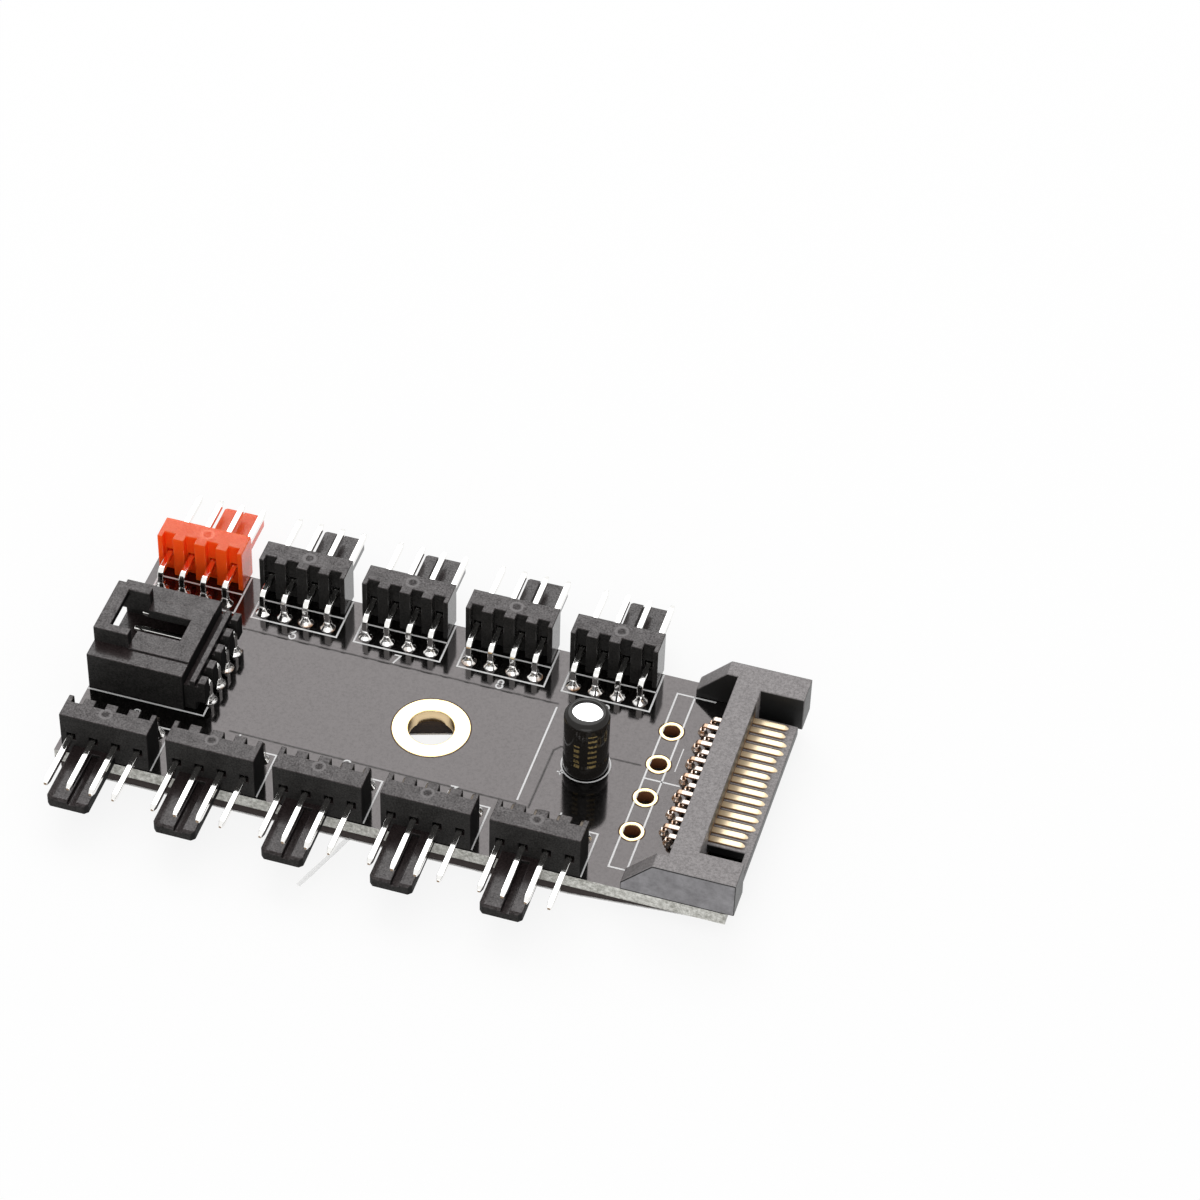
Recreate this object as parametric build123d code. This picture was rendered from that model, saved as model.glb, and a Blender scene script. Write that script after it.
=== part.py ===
from build123d import *
from math import atan2, degrees
import os

# A hub for computer fans: one board with ten fan headers, an input header, a power plug and a capacitor.
# Origin on the axis of the mounting hole, on the underside of the board.
# +X runs along the board to the power plug, +Y to the back row of headers, +Z up. Millimetres.

# Board
board_width = 31.3
board_thickness = 1.6
port_edge = 5.9          # left edge of the board to the middle of the first port
end_zone = 20.9          # middle of the last port to the right edge of the board
plating = 0.05
mount_hole_radius = 2.55
mount_ring_radius = 4.3

# Pins
pin_pitch = 2.54
pin_size = 0.64
pin_point = 0.16         # bevel round the point of a pin
pin_bend = 0.45          # flat across the outside of the bend
tail_clearance = 0.3     # end of a pin to the liner under the foam

# Fan headers
port_count = 5           # in each row
port_pitch = 12.05
front_set_in = 0.1       # front edge of the board to the front headers' open face
back_overhang = 0.7      # back edge of the board to the back headers' open face
header_width = 10.0
header_depth = 3.1
header_height = 5.67
header_stand_off = 2.35  # solder row to the comb side of the housing
header_pin_height = 2.6
pin_reach = 7.2
slot_width = 1.25
slot_depth = 0.9
pin_relief = 0.18        # gap round a pin in its hole through the housing
tab_width = 4.7
tab_length = 7.85
tab_thickness = 1.3
tab_corner = 0.4
tab_groove_width = 0.9
tab_groove_depth = 0.45
tab_groove_shift = 0.5   # middle of the tab to the middle of its groove
tab_groove_start = 0.6

# Solder
solder_foot = 1.5        # width on the board
solder_neck = 0.8        # width round the pin
solder_height = 1.05
drill_clearance = 0.05   # side of a pin or leg to the wall of its hole

# Input header
input_set_in = 0.1       # left edge of the board to the mouth
input_width = 12.2
input_length = 11.05
input_height = 5.1
input_wall = 0.95
input_back_wall = 1.2
input_shift = 0.25       # middle of the board to the middle of the socket
input_pin_height = 2.9
input_pin_set_in = 2.6   # mouth to the points of the pins
arch_height = 2.0
arch_length = 4.0
arch_width = 7.6
arch_wall = 1.05
arch_bridge = 1.6
arch_roof = 0.85
land_width = 8.0         # raised strip along the roof
land_height = 0.2
latch_slot_width = 3.25
latch_slot_shift = 0.45
latch_slot_end = 2.1
comb_drop = 0.8          # roof to the top of the comb
comb_set_in = 0.4
rib_gap = 0.65
rib_thickness = 0.65
tooth_gap = 0.3
tooth_length = 0.85
tooth_width = 1.3
groove_depth = 0.7

# Power plug
plug_height = 4.6
plug_overhang = 0.9
plug_depth = 7.85
plug_back_wall = 2.95
plug_arm_width = 2.1
plug_arm_length = 4.55
plug_arm_flat = 1.2
plug_arm_tip = 1.0
peg_radius = 0.7
peg_length = 1.4
peg_sides = 8
peg_clearance = 0.05
blade_count = 15
blade_pitch = 1.27
blade_width = 0.8
blade_thickness = 0.12
blade_shift = 0.95       # middle of the board to the middle blade
blade_set_in = 0.55      # front of the plug to the points of the long blades
blade_short = 0.45
short_blades = (1, 2, 5, 7, 8, 14, 15)    # counted from the back
tongue_top = 2.3
tongue_thickness = 1.2
tongue_set_in = 0.1
tongue_strip = 0.7       # strip at the mouth that ties the tongue to the front end
tongue_margin = 0.5      # outer blades to the ends of the tongue, front and back
tongue_margin_back = 0.25
mouth_gap_front = 3.3
mouth_gap_back = 1.8
leg_thickness = 0.26
leg_height = 1.0
leg_inset = 1.05
leg_row = 1.55           # back of the plug to the nearer row of legs
leg_stagger = 0.8
leg_solder_foot = 1.1
leg_solder_neck = 0.9
leg_solder_height = 0.55

# Unused power pads
pad_count = 4
pad_pitch = 5.08
pad_edge = 12.54         # right edge of the board to the row of pads
pad_radius = 1.35
pad_hole_radius = 0.95
pad_sides = 16

# Capacitor
cap_edge = 20.0          # right edge of the board to the middle of the capacitor
cap_radius = 2.5
cap_height = 8.3
cap_foot = 0.2
cap_sleeve = 0.2
cap_lip = 0.75           # width of the sleeve's lip over the top
cap_bevel = 0.3
crimp_height = 2.2
crimp_depth = 0.15
crimp_half = 0.5
seal_height = 1.4
seal_sides = 16
lead_pitch = 2.0
lead_radius = 0.25
lead_sides = 8
lead_clearance = 0.1
lead_solder_foot = 1.3
lead_solder_neck = 0.7
lead_solder_height = 0.75

# Adhesive foam under the board, and its liner
foam_thickness = 1.4
foam_margin = 0.15
foam_end_margin = 0.5
foam_cut_along = 16.5    # slanting cut at the front right corner
foam_cut_across = 1.35
foam_window = 2.6
foam_window_end = 0.8
foam_hole_clearance = 0.4
foam_hole_sides = 24
liner_thickness = 0.12
liner_tail_width = 0.6
liner_tail_root = (4.2, 3.0)    # right of the middle port, in from the front edge of the board
liner_tail_bow = (2.6, -1.8)
liner_tail_tip = (0.5, -7.6)

os.makedirs("parts", exist_ok=True)
top = board_thickness
board_length = port_edge + (port_count - 1) * port_pitch + end_zone
half_length = board_length / 2
half_width = board_width / 2
half_pin = pin_size / 2
pin_tail = foam_thickness - tail_clearance
pin_steps = [(k - 1.5) * pin_pitch for k in range(4)]
row_span = pin_steps[-1] - pin_steps[0]


def patch(x0, x1, y0, y1):
    """A flat rectangle between two corners."""
    return Pos((x0 + x1) / 2, (y0 + y1) / 2) * Rectangle(x1 - x0, y1 - y0)


def along_x(section, x0, x1):
    """Draws a flat section, given in (y, z), out along X."""
    return Pos(x0, 0, 0) * extrude(Plane.YZ * section, amount=x1 - x0)


def along_y(section, y0, y1):
    """Draws a flat section, given in (x, z), out along Y."""
    return Pos(0, y1, 0) * extrude(Plane.XZ * section, amount=y1 - y0)


def outline(*points):
    """A flat face inside straight edges."""
    return Polygon(*points, align=None)


def spun(*points):
    """Turns a profile of (radius, height) points about Z."""
    return revolve(Plane.XZ * outline(*points), axis=Axis.Z)


def cone(foot, neck, height):
    """A four-sided solder cone on the XY plane."""
    slope = atan2(foot - neck, 2 * height)
    return extrude(Rectangle(foot, foot), amount=height, taper=degrees(slope))


def eyelet(ring, hole):
    """A plated hole: a barrel through the board with a flat ring on each side."""
    wall = hole + plating
    return spun(
        (hole, -plating), (ring, -plating), (ring, 0), (wall, 0),
        (wall, top), (ring, top), (ring, top + plating), (hole, top + plating),
    )


def bent_pin(point, height):
    """A square pin in (run, z): a run at a height, bent down at the origin through the board."""
    low = height - half_pin
    high = height + half_pin
    return outline(
        (-half_pin, -top - pin_tail), (half_pin, -top - pin_tail), (half_pin, low), (point, low),
        (point, high), (pin_bend - half_pin, high), (-half_pin, high - pin_bend),
    )


def save(name, shapes):
    """Writes one node: a single solid, or a group of separate solids."""
    solids = []
    for shape in shapes:
        solids += shape.solids()
    node = solids[0] if len(solids) == 1 else Compound(children=solids)
    node.label = name
    export_step(node, "parts/" + name + ".step")


# Fan header, drawn with its solder row on the X axis and its open face toward +Y
header_open = header_stand_off + header_depth
slot_floor = header_stand_off + slot_depth
tab_x = pin_steps[2]
tab_end = header_open + tab_length


def header_housing():
    """A comb block with a hole round each pin and a grooved locking tab below the pins."""
    half_header = header_width / 2
    plan = patch(-half_header, half_header, header_stand_off, header_open)
    half_slot = slot_width / 2
    plan -= [patch(u - half_slot, u + half_slot, header_stand_off, slot_floor) for u in pin_steps]
    body = extrude(plan, amount=header_height)
    tab_plan = patch(tab_x - tab_width / 2, tab_x + tab_width / 2, slot_floor, tab_end)
    tab_plan = chamfer(tab_plan.vertices().group_by(Axis.Y)[-1], tab_corner)
    groove_x = tab_x - tab_groove_shift
    groove = patch(groove_x - tab_groove_width / 2, groove_x + tab_groove_width / 2,
                   header_open + tab_groove_start, tab_end)
    body += extrude(tab_plan, amount=tab_thickness)
    body -= Pos(0, 0, tab_thickness - tab_groove_depth) * extrude(groove, amount=tab_groove_depth)
    hole_size = pin_size + 2 * pin_relief
    hole = Rectangle(hole_size, hole_size)
    for u in pin_steps:
        body -= along_y(Pos(u, header_pin_height) * hole, slot_floor, header_open)
    return body


def header_pin():
    """A right-angle pin, bevelled round its point."""
    pin = along_x(bent_pin(header_open + pin_reach, header_pin_height), -half_pin, half_pin)
    return chamfer(pin.faces().sort_by(Axis.Y)[-1].edges(), pin_point)


housing = header_housing()
pin = header_pin()
pin_cone = cone(solder_foot, solder_neck, solder_height) - Box(pin_size, pin_size, 4 * solder_height)
header_pins = [Pos(u, 0, 0) * pin for u in pin_steps]
header_solder = [Pos(u, 0, 0) * pin_cone for u in pin_steps]

# Two rows of ports: the front ones face -Y and count from the right, the back ones face +Y
port_x = [port_edge - half_length + k * port_pitch for k in range(port_count)]
front_row = front_set_in + header_open - half_width
back_row = half_width + back_overhang - header_open
places = {}
for k in range(port_count):
    places["front_{}_" + str(port_count - k)] = Pos(port_x[k], front_row, top) * Rot(0, 0, 180)
    back_name = "red_{}" if k == 0 else "back_{}_" + str(port_count + k)
    places[back_name] = Pos(port_x[k], back_row, top)
for name, place in places.items():
    save(name.format("housing"), [place * housing])
    save(name.format("pins"), [place * p for p in header_pins])
    save(name.format("solder"), [place * s for s in header_solder])

# Input header: a shrouded socket that opens toward -X, with an arch over its mouth
mouth_x = input_set_in - half_length
arch_x = mouth_x + arch_length
roof_x = mouth_x + input_length
cavity_x = roof_x - input_back_wall
rib_x = roof_x + rib_gap
slit_x = rib_x + rib_thickness
tooth_x = slit_x + tooth_gap
comb_x = tooth_x + tooth_length
input_pin_x = comb_x - half_pin
comb_top = input_height - comb_drop
groove_floor = comb_top - groove_depth
tooth_low = solder_height + tail_clearance


def input_shroud():
    """The socket's walls drawn along X, its roof cut open for the latch, and a comb behind it."""
    half = input_width / 2
    half_arch = arch_width / 2
    half_land = land_width / 2
    half_slot = latch_slot_width / 2
    arch_top = input_height + arch_height
    walls = patch(-half, half, 0, input_height)
    arch = patch(-half_arch, half_arch, 0, arch_top)
    land = patch(-half_land, half_land, 0, input_height + land_height)
    bore = patch(input_wall - half, half - input_wall, input_wall, input_height - input_wall)
    inside = half_arch - arch_wall
    channel = patch(-inside, inside, input_wall, arch_top - arch_roof)
    shroud = along_x(walls + arch - bore - channel, mouth_x, arch_x)
    shroud += along_x(walls + land - bore, arch_x, cavity_x)
    shroud += along_x(walls + land, cavity_x, roof_x)
    slot_end = roof_x - latch_slot_end
    windows = patch(mouth_x + arch_bridge, arch_x, -inside, inside)
    windows += Pos(0, latch_slot_shift) * patch(arch_x, slot_end, -half_slot, half_slot)
    cut_low = input_height - input_wall
    shroud -= Pos(0, 0, cut_low) * extrude(windows, amount=arch_top - cut_low)
    comb = outline(
        (roof_x, 0), (slit_x, 0), (slit_x, tooth_low), (comb_x, tooth_low), (comb_x, comb_top),
        (tooth_x, comb_top), (tooth_x, groove_floor), (slit_x, groove_floor), (slit_x, comb_top),
        (rib_x, comb_top), (rib_x, groove_floor), (roof_x, groove_floor),
    )
    shroud += along_y(comb, comb_set_in - half, half - comb_set_in)
    half_notch = (pin_pitch - tooth_width) / 2
    notch = extrude(patch(slit_x, comb_x, -half_notch, half_notch), amount=comb_top)
    hole = Pos(0, input_pin_height) * Rectangle(pin_size, pin_size)
    for u in pin_steps:
        shroud -= Pos(0, u, 0) * notch
        shroud -= along_x(Pos(u, 0) * hole, cavity_x, slit_x)
    return shroud


def input_pin():
    """A right-angle pin that runs back into the socket, bevelled round its point."""
    run = bent_pin(input_pin_x - mouth_x - input_pin_set_in, input_pin_height)
    long_pin = chamfer(
        along_x(run, -half_pin, half_pin).faces().sort_by(Axis.Y)[-1].edges(), pin_point
    )
    return Rot(0, 0, 90) * long_pin


input_place = Pos(0, input_shift, top)
input_row = [Pos(input_pin_x, u, 0) for u in pin_steps]
save("input_housing", [input_place * input_shroud()])
save("input_pins", [input_place * place * input_pin() for place in input_row])
save("input_solder", [input_place * place * pin_cone for place in input_row])

# Power plug: a block across the end of the board, with a tongue of flat blades in its mouth
plug_end = half_length + plug_overhang
plug_back = plug_end - plug_depth
plug_mouth = plug_back + plug_back_wall
blade_span = (blade_count - 1) * blade_pitch
blade_edge = (blade_span + blade_width) / 2
tongue_front = blade_shift - blade_edge - tongue_margin
tongue_back = blade_shift + blade_edge + tongue_margin_back
mouth_front = tongue_front - mouth_gap_front
mouth_back = tongue_back + mouth_gap_back
peg_x = plug_back + peg_radius
peg_y = half_width - plug_arm_width / 2


def plug_block():
    """The block with its open mouth, two sloped arms, two pegs and the tongue."""
    plan = patch(plug_back, plug_end, -half_width, half_width)
    plan -= patch(plug_mouth, plug_end, mouth_front, mouth_back)
    block = extrude(plan, amount=plug_height)
    arm_back = plug_back - plug_arm_length
    arm = outline(
        (arm_back, 0), (plug_back, 0), (plug_back, plug_height),
        (plug_back - plug_arm_flat, plug_height), (arm_back, plug_arm_tip),
    )
    block += along_y(arm, half_width - plug_arm_width, half_width)
    block += along_y(arm, -half_width, plug_arm_width - half_width)
    tongue_end = plug_end - tongue_set_in
    tongue = patch(plug_mouth, tongue_end, mouth_front, tongue_back)
    tongue -= patch(plug_mouth, tongue_end - tongue_strip, mouth_front, tongue_front)
    block += Pos(0, 0, tongue_top - tongue_thickness) * extrude(tongue, amount=tongue_thickness)
    peg = extrude(RegularPolygon(peg_radius, peg_sides), amount=-peg_length)
    block += [Pos(peg_x, side * peg_y, 0) * peg for side in (-1, 1)]
    return block


def blade(leg_x, point):
    """A flat blade along the tongue that steps down through the block to a leg in the board."""
    face = tongue_top + blade_thickness
    step = plug_back + leg_inset
    leg_top = leg_height + leg_thickness
    half_leg = leg_thickness / 2
    profile = outline(
        (point, tongue_top), (point, face), (step, face), (step, leg_top),
        (leg_x - half_leg, leg_top), (leg_x - half_leg, -top - pin_tail),
        (leg_x + half_leg, -top - pin_tail), (leg_x + half_leg, leg_height),
        (step + leg_thickness, leg_height), (step + leg_thickness, tongue_top),
    )
    return along_y(profile, -blade_width / 2, blade_width / 2)


legs = []
blades = []
for k in range(blade_count):
    y = blade_shift + blade_span / 2 - k * blade_pitch
    leg_x = plug_back - leg_row - leg_stagger * (k % 2)
    point = plug_end - blade_set_in
    if k + 1 in short_blades:
        point -= blade_short
    legs.append((leg_x, y))
    blades.append(Pos(0, y, 0) * blade(leg_x, point))
leg_cone = cone(leg_solder_foot, leg_solder_neck, leg_solder_height)
leg_cone -= Box(leg_thickness, blade_width, 4 * leg_solder_height)
save("plug_housing", [Pos(0, 0, top) * (plug_block() - blades)])
save("plug_blades", [Pos(0, 0, top) * b for b in blades])
save("plug_solder", [Pos(x, y, top) * leg_cone for x, y in legs])

# Capacitor: a can on a rubber seal with two leads, in a crimped sleeve that turns over its top
cap_x = half_length - cap_edge
can_radius = cap_radius - cap_sleeve
can_top = cap_height - cap_sleeve
crimp_low = crimp_height - crimp_half
crimp_high = crimp_height + crimp_half
can = Pos(0, 0, seal_height) * extrude(Circle(can_radius), amount=can_top - seal_height)
sleeve = spun(
    (can_radius, cap_foot), (cap_radius, cap_foot), (cap_radius, crimp_low),
    (cap_radius - crimp_depth, crimp_height), (cap_radius, crimp_high),
    (cap_radius, cap_height - cap_bevel), (cap_radius - cap_bevel, cap_height),
    (cap_radius - cap_lip, cap_height), (cap_radius - cap_lip, can_top), (can_radius, can_top),
)
lead_steps = [-lead_pitch / 2, lead_pitch / 2]
wire = RegularPolygon(lead_radius, lead_sides)
lead = Pos(0, 0, seal_height) * extrude(wire, amount=-seal_height - top - pin_tail)
leads = [Pos(u, 0, 0) * lead for u in lead_steps]
seal = Pos(0, 0, cap_foot) * extrude(RegularPolygon(can_radius, seal_sides), amount=seal_height - cap_foot)
seal -= leads
cap_place = Pos(cap_x, 0, top)
lead_cone = Rot(180, 0, 0) * cone(lead_solder_foot, lead_solder_neck, lead_solder_height)
lead_cone -= extrude(wire, amount=lead_solder_height, both=True)
save("capacitor_can", [cap_place * can])
save("capacitor_sleeve", [cap_place * sleeve])
save("capacitor_seal", [cap_place * seal])
save("capacitor_leads", [cap_place * u for u in leads])
save("capacitor_solder", [Pos(cap_x + u, 0, 0) * lead_cone for u in lead_steps])

# Board, drilled for every pin, with plated rings
pads = [(half_length - pad_edge, (k - (pad_count - 1) / 2) * pad_pitch) for k in range(pad_count)]
pegs = [(peg_x, side * peg_y) for side in (-1, 1)]
pins = [(x + u, y) for x in port_x for y in (front_row, back_row) for u in pin_steps]
pins += [(input_pin_x, input_shift + u) for u in pin_steps]
pin_hole = Rectangle(pin_size + 2 * drill_clearance, pin_size + 2 * drill_clearance)
leg_hole = Rectangle(leg_thickness + 2 * drill_clearance, blade_width + 2 * drill_clearance)
lead_hole = RegularPolygon(lead_radius + lead_clearance, lead_sides)
peg_hole = RegularPolygon(peg_radius + peg_clearance, peg_sides)
pad_hole = RegularPolygon(pad_hole_radius, pad_sides)
plan = Rectangle(board_length, board_width)
plan -= [Pos(x, y) * pin_hole for x, y in pins]
plan -= [Pos(x, y) * leg_hole for x, y in legs]
plan -= [Pos(cap_x + u, 0) * lead_hole for u in lead_steps]
plan -= [Pos(x, y) * pad_hole for x, y in pads]
plan -= [Pos(x, y) * peg_hole for x, y in pegs]
plan -= Circle(mount_hole_radius + plating)
save("circuit_board", [extrude(plan, amount=board_thickness)])
save("mounting_ring", [eyelet(mount_ring_radius, mount_hole_radius)])
land = extrude(RegularPolygon(pad_radius, pad_sides) - pad_hole, amount=plating)
save("power_pads", [Pos(x, y, top) * land for x, y in pads])

# Adhesive foam, cut askew at one corner, with windows round the pin tails
sheet_x = half_length - foam_end_margin
sheet_y = half_width - foam_margin
sheet = outline(
    (-sheet_x, -sheet_y), (sheet_x - foam_cut_along, -sheet_y), (sheet_x, foam_cut_across - sheet_y),
    (sheet_x, sheet_y), (-sheet_x, sheet_y),
)
sheet -= RegularPolygon(mount_ring_radius + foam_hole_clearance, foam_hole_sides)
row_window = Rectangle(row_span + 2 * foam_window_end, foam_window)
foam = sheet - [Pos(x, y) * row_window for x in port_x for y in (front_row, back_row)]
foam -= Pos(input_pin_x, input_shift) * Rot(0, 0, 90) * row_window
leg_middle = plug_back - leg_row - leg_stagger / 2
foam -= Pos(leg_middle, blade_shift) * Rectangle(foam_window, blade_span + 2 * foam_window_end)
pad_span = (pad_count - 1) * pad_pitch + 2 * pad_radius
foam -= Pos(half_length - pad_edge, 0) * Rectangle(foam_window, pad_span)
foam -= Pos(cap_x, 0) * Rectangle(lead_pitch + foam_window, foam_window)
save("foam_pad", [Pos(0, 0, -foam_thickness) * extrude(foam, amount=foam_thickness)])

# Liner on the foam, with a torn tail that curls out past the front edge
tail_points = [
    (port_x[port_count // 2] + right, inward - half_width)
    for right, inward in (liner_tail_root, liner_tail_bow, liner_tail_tip)
]
spine = ThreePointArc(*tail_points)
tail = trace(spine, liner_tail_width)
liner = extrude(sheet + tail, amount=liner_thickness)
save("release_liner", [Pos(0, 0, -foam_thickness - liner_thickness) * liner])
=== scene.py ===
# %% [markdown]
# This lesson dresses a small hub that shares one fan signal and one power plug among ten fan headers.
# Its solids were cut in CAD and packed as a fixed frame, so what is left for Blender is the finish:
# moulded plastic with softened edges, tin, solder, gold plate, lacquer, ink and foam.
# The frame is loaded first and its box is kept, because no piece added later may outgrow it.

# %% Load the fixed frame
import math
import random

import bmesh
import bpy
from mathutils import Euler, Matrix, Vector, noise


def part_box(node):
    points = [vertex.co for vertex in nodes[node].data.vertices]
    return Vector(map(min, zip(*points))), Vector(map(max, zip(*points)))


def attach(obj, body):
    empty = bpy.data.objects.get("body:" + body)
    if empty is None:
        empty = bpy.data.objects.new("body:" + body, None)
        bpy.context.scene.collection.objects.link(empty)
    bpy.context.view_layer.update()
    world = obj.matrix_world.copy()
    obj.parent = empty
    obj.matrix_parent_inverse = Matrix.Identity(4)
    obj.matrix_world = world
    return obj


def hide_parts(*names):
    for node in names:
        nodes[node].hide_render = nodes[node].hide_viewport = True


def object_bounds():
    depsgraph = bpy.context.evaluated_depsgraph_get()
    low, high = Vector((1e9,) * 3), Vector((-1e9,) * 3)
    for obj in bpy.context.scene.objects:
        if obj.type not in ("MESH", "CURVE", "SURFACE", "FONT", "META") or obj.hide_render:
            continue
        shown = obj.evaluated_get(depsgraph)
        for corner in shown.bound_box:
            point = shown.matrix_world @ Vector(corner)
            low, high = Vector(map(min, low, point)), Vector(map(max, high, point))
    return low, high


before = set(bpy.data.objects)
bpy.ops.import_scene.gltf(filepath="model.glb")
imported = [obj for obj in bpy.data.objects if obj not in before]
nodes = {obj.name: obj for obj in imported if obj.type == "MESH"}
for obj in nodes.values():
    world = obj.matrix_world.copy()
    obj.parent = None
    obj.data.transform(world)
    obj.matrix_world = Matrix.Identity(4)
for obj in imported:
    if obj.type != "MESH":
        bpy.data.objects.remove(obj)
cad_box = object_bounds()
MM = 0.001
print("loaded", len(nodes), "CAD nodes, box in metres", cad_box)

# %% [markdown]
# A finish is a flow of nodes, and most of those nodes are plain arithmetic on masks and noise.
# Placing each Math node by hand is slow to write and hard to read. Here one small class wraps a socket,
# so that an expression such as 1 - mask * 0.4 adds the Math nodes by itself, and one method makes
# every other kind of node: its settings are set first, then the values or links of its sockets.

# %% A socket that does arithmetic
class Flow:
    """A socket of a shader. Sums and products of flows become Math nodes."""

    def __init__(self, tree, socket=None):
        self.tree = tree
        self.socket = socket

    def node(self, kind, settings=None, sockets=None, out=0):
        made = self.tree.nodes.new("ShaderNode" + kind)
        for name, value in (settings or {}).items():
            setattr(made, name, value)
        for key, value in (sockets or {}).items():
            if isinstance(value, Flow):
                self.tree.links.new(value.socket, made.inputs[key])
            else:
                made.inputs[key].default_value = value
        return Flow(self.tree, made.outputs[out]) if made.outputs else None

    def also(self, out):
        """Another output of the node that this socket belongs to."""
        return Flow(self.tree, self.socket.node.outputs[out])

    def maths(self, operation, *values):
        return self.node("Math", {"operation": operation}, dict(enumerate(values)))

    def __add__(self, other):
        return self.maths("ADD", self, other)

    def __radd__(self, other):
        return self.maths("ADD", other, self)

    def __sub__(self, other):
        return self.maths("SUBTRACT", self, other)

    def __rsub__(self, other):
        return self.maths("SUBTRACT", other, self)

    def __mul__(self, other):
        return self.maths("MULTIPLY", self, other)

    def __rmul__(self, other):
        return self.maths("MULTIPLY", other, self)

    def __truediv__(self, other):
        return self.maths("DIVIDE", self, other)

    def __rtruediv__(self, other):
        return self.maths("DIVIDE", other, self)

    def __lt__(self, other):
        return self.maths("LESS_THAN", self, other)

    def __gt__(self, other):
        return self.maths("GREATER_THAN", self, other)

    def __abs__(self):
        return self.maths("ABSOLUTE", self)


print("shader arithmetic is ready")

# %% [markdown]
# Every finish on this hub is described in millimetres, because its grain is far finer than a metre.
# The object's own coordinates times a thousand give that, and they stay put when the camera moves.
# A few short helpers cover what all the finishes share: noise of so many grains per millimetre,
# a mix of two colours, and a relief given in thousandths of a millimetre.

# %% Helpers that every finish shares
def new_finish(name):
    """An empty material, its node flow, and its coordinates in millimetres."""
    material = bpy.data.materials.new(name)
    material.use_nodes = True
    material.node_tree.nodes.clear()
    flow = Flow(material.node_tree)
    metres = flow.node("TexCoord", out="Object")
    where = flow.node("VectorMath", {"operation": "SCALE"}, {0: metres, "Scale": 1000.0})
    return material, flow, where


def axes(flow, where):
    x = flow.node("SeparateXYZ", {}, {0: where}, out="X")
    return x, x.also("Y"), x.also("Z")


def speckle(flow, where, per_mm, detail=3.0, roughness=0.6):
    sockets = {"Vector": where, "Scale": per_mm, "Detail": detail, "Roughness": roughness}
    return flow.node("TexNoise", {}, sockets, out="Fac")


def within(flow, value):
    """The value held between nought and one."""
    return flow.maths("MINIMUM", flow.maths("MAXIMUM", value, 0.0), 1.0)


def shade(flow, factor, first, second):
    return flow.node("Mix", {"data_type": "RGBA"}, {0: factor, 6: first, 7: second}, out=2)


def relief(flow, height, strength, microns):
    return flow.node("Bump", {}, {"Height": height, "Strength": strength, "Distance": microns * 1e-6})


def close(flow, sockets):
    shader = flow.node("BsdfPrincipled", {}, sockets)
    flow.node("OutputMaterial", {}, {"Surface": shader})


def close_mixed(flow, base, *layers):
    """A shader, and others that each take its place by a factor."""
    surface = flow.node("BsdfPrincipled", {}, base)
    for factor, sockets in layers:
        layer = flow.node("BsdfPrincipled", {}, sockets)
        surface = flow.node("MixShader", {}, {0: factor, 1: surface, 2: layer})
    flow.node("OutputMaterial", {}, {"Surface": surface})


def grey(level, warm=0.0):
    return (level * (1 + warm), level, level * (1 - warm), 1.0)


def facing(flow):
    """How far the surface looks along each axis."""
    return axes(flow, flow.node("NewGeometry", out="Normal"))


def walls_along(flow):
    """One on walls that look along Y, or down, and nothing on faces that look up or to the ends of the hub."""
    x, y, z = facing(flow)
    return 1 - within(flow, flow.maths("MAXIMUM", z, abs(x)))


finish = {}
print("finish helpers are ready")

# %% [markdown]
# The fan headers are moulded in glass-filled nylon. Up close it isn't smooth: short fibres give it a fine,
# slightly sparkling grain, and the ejector pins of the mould leave a faint ring on top of each header.
# Faces that the mould polished shine, and the walls that slid along it are dull or satin, so three shaders are mixed by
# the way a face looks. The walls' colours are set apart from the tops' as painted shade and light: black walls, and
# their ends most of all, are painted darker than the tops, and red walls are painted brighter than the red tops. Noise
# and a shallow relief give the grain from every side. The rings repeat with the port pitch, so a modulo on X places all
# of them. The red nylon lets light through, which scatter below it gives.

# %% Moulded nylon
port_pitch = 12.05
first_port = -31.6
header_top = 7.27


def ring_row(flow, x, y, shift, row, radius):
    """A row of pale rings with a darker middle, one on each port."""
    start = first_port + shift - port_pitch / 2
    across = flow.maths("FLOORED_MODULO", x - start, port_pitch) - port_pitch / 2
    along = y - row
    away = flow.maths("SQRT", across * across + along * along)
    rim = 1 - flow.maths("MINIMUM", abs(away - radius) * 5.0, 1.0)
    return rim - (away < radius - 0.25) * 0.5


def ejector_rings(flow, where):
    x, y, z = axes(flow, where)
    back = ring_row(flow, x, y, 0.29, 15.15, 0.66)
    front = ring_row(flow, x, y, -0.27, -14.0, 0.62)
    return (back + front) * (z > header_top - 0.2)


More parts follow.
